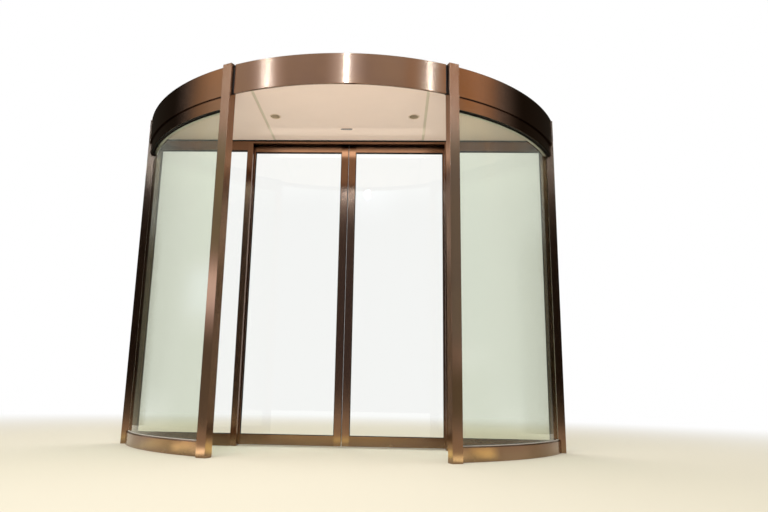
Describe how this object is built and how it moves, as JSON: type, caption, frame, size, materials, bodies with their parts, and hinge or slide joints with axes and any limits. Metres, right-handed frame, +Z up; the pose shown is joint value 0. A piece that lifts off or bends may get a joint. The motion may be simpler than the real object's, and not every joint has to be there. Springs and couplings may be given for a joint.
{
  "type": "curved-front entrance portal with automatic sliding doors",
  "caption": "Entrance portal with a curved bronze fascia, fixed curved glass panels beside an open front, a flat lit soffit, and a glazed screen with bi-parting sliding leaves.",
  "frame": {"origin": "on the floor, at the middle of the portal's width and depth", "axes": "+X along the wall to the right as seen from the street, +Y into the building, +Z up"},
  "size_m": [3.28, 1.2499, 2.578],
  "materials": {
    "bronze_steel": "bronze-coloured stainless steel, fine vertical brushing, satin sheen",
    "soffit_paint": "warm white satin paint",
    "joint_strip": "grey-green matt paint",
    "tinted_glass": "clear laminated glass with a faint green-yellow tint",
    "clear_glass": "clear toughened glass",
    "black_rubber": "matt black",
    "black_nylon": "satin black",
    "mill_aluminium": "mill-finished extrusion",
    "galvanised_steel": "zinc-plated steel, dull spangle"
  },
  "bodies": {
    "portal": {"fascia_centre": "bronze_steel", "ring_beam": "galvanised_steel", "roof_panel": "galvanised_steel", "soffit_centre": "soffit_paint", "soffit_bars": "joint_strip", "downlights": "soffit_paint", "presence_sensor": "soffit_paint", "transom_trim": "bronze_steel", "header_beam": "mill_aluminium", "header_cover": "bronze_steel", "drive_unit": "galvanised_steel", "drive_belt": "black_rubber", "floor_guides": "galvanised_steel", "post_left": "bronze_steel", "fascia_left": "bronze_steel", "soffit_left": "soffit_paint", "head_rail_left": "bronze_steel", "base_rail_left": "bronze_steel", "curved_glass_left": "tinted_glass", "curved_gaskets_left": "black_rubber", "jamb_left": "bronze_steel", "sidelight_stile_left": "bronze_steel", "sidelight_rails_left": "bronze_steel", "sidelight_glass_left": "clear_glass", "post_right": "bronze_steel", "fascia_right": "bronze_steel", "soffit_right": "soffit_paint", "head_rail_right": "bronze_steel", "base_rail_right": "bronze_steel", "curved_glass_right": "tinted_glass", "curved_gaskets_right": "black_rubber", "jamb_right": "bronze_steel", "sidelight_stile_right": "bronze_steel", "sidelight_rails_right": "bronze_steel", "sidelight_glass_right": "clear_glass"},
    "leaf_left": {"leaf_left_stiles": "bronze_steel", "leaf_left_rails": "bronze_steel", "leaf_left_glass": "clear_glass", "leaf_left_hangers": "galvanised_steel", "leaf_left_wheels": "black_nylon"},
    "leaf_right": {"leaf_right_stiles": "bronze_steel", "leaf_right_rails": "bronze_steel", "leaf_right_glass": "clear_glass", "leaf_right_hangers": "galvanised_steel", "leaf_right_wheels": "black_nylon"}
  },
  "joints": [
    {"name": "left_slide", "type": "slide", "parent": "portal", "child": "leaf_left", "axis": [-1, 0, 0], "range_m": [0, 0.75]},
    {"name": "right_slide", "type": "slide", "parent": "portal", "child": "leaf_right", "axis": [1, 0, 0], "range_m": [0, 0.75]}
  ],
  "couplings": [
    {"joint": "right_slide", "follows": "left_slide", "ratio": 1}
  ]
}
